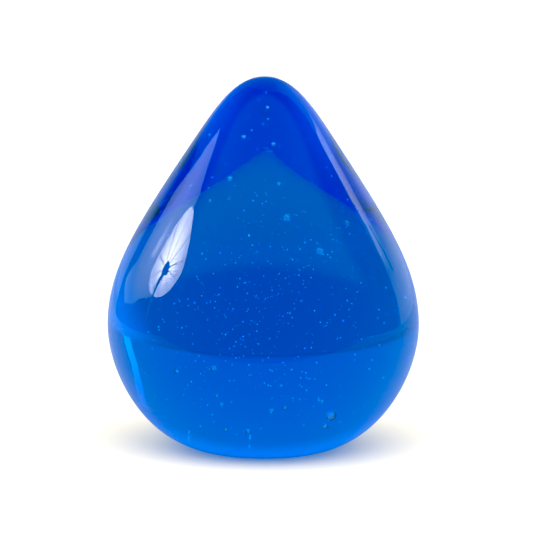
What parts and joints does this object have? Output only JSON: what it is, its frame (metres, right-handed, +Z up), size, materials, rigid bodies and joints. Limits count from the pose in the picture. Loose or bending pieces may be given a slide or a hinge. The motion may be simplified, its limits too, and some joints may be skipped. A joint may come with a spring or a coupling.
{
  "type": "squeeze drop stress ball",
  "caption": "Palm-sized drop-shaped stress ball: a clear blue elastomer skin filled with soft gel and closed by a plug in its flat foot.",
  "frame": {"origin": "centre of the flat foot, which is the bottom centre of the box", "axes": "+Z up the drop's axis from the foot to the tip; the shape is round about Z, so X and Y are free"},
  "size_m": [0.06, 0.06, 0.0722],
  "materials": {
    "skin_elastomer": "gloss",
    "gel_fill": "gloss",
    "plug_elastomer": "satin",
    "bead_sealant": "gloss"
  },
  "bodies": {
    "root": {"skin": "skin_elastomer", "gel_core": "gel_fill", "fill_plug": "plug_elastomer", "seal_bead": "bead_sealant"}
  },
  "joints": []
}
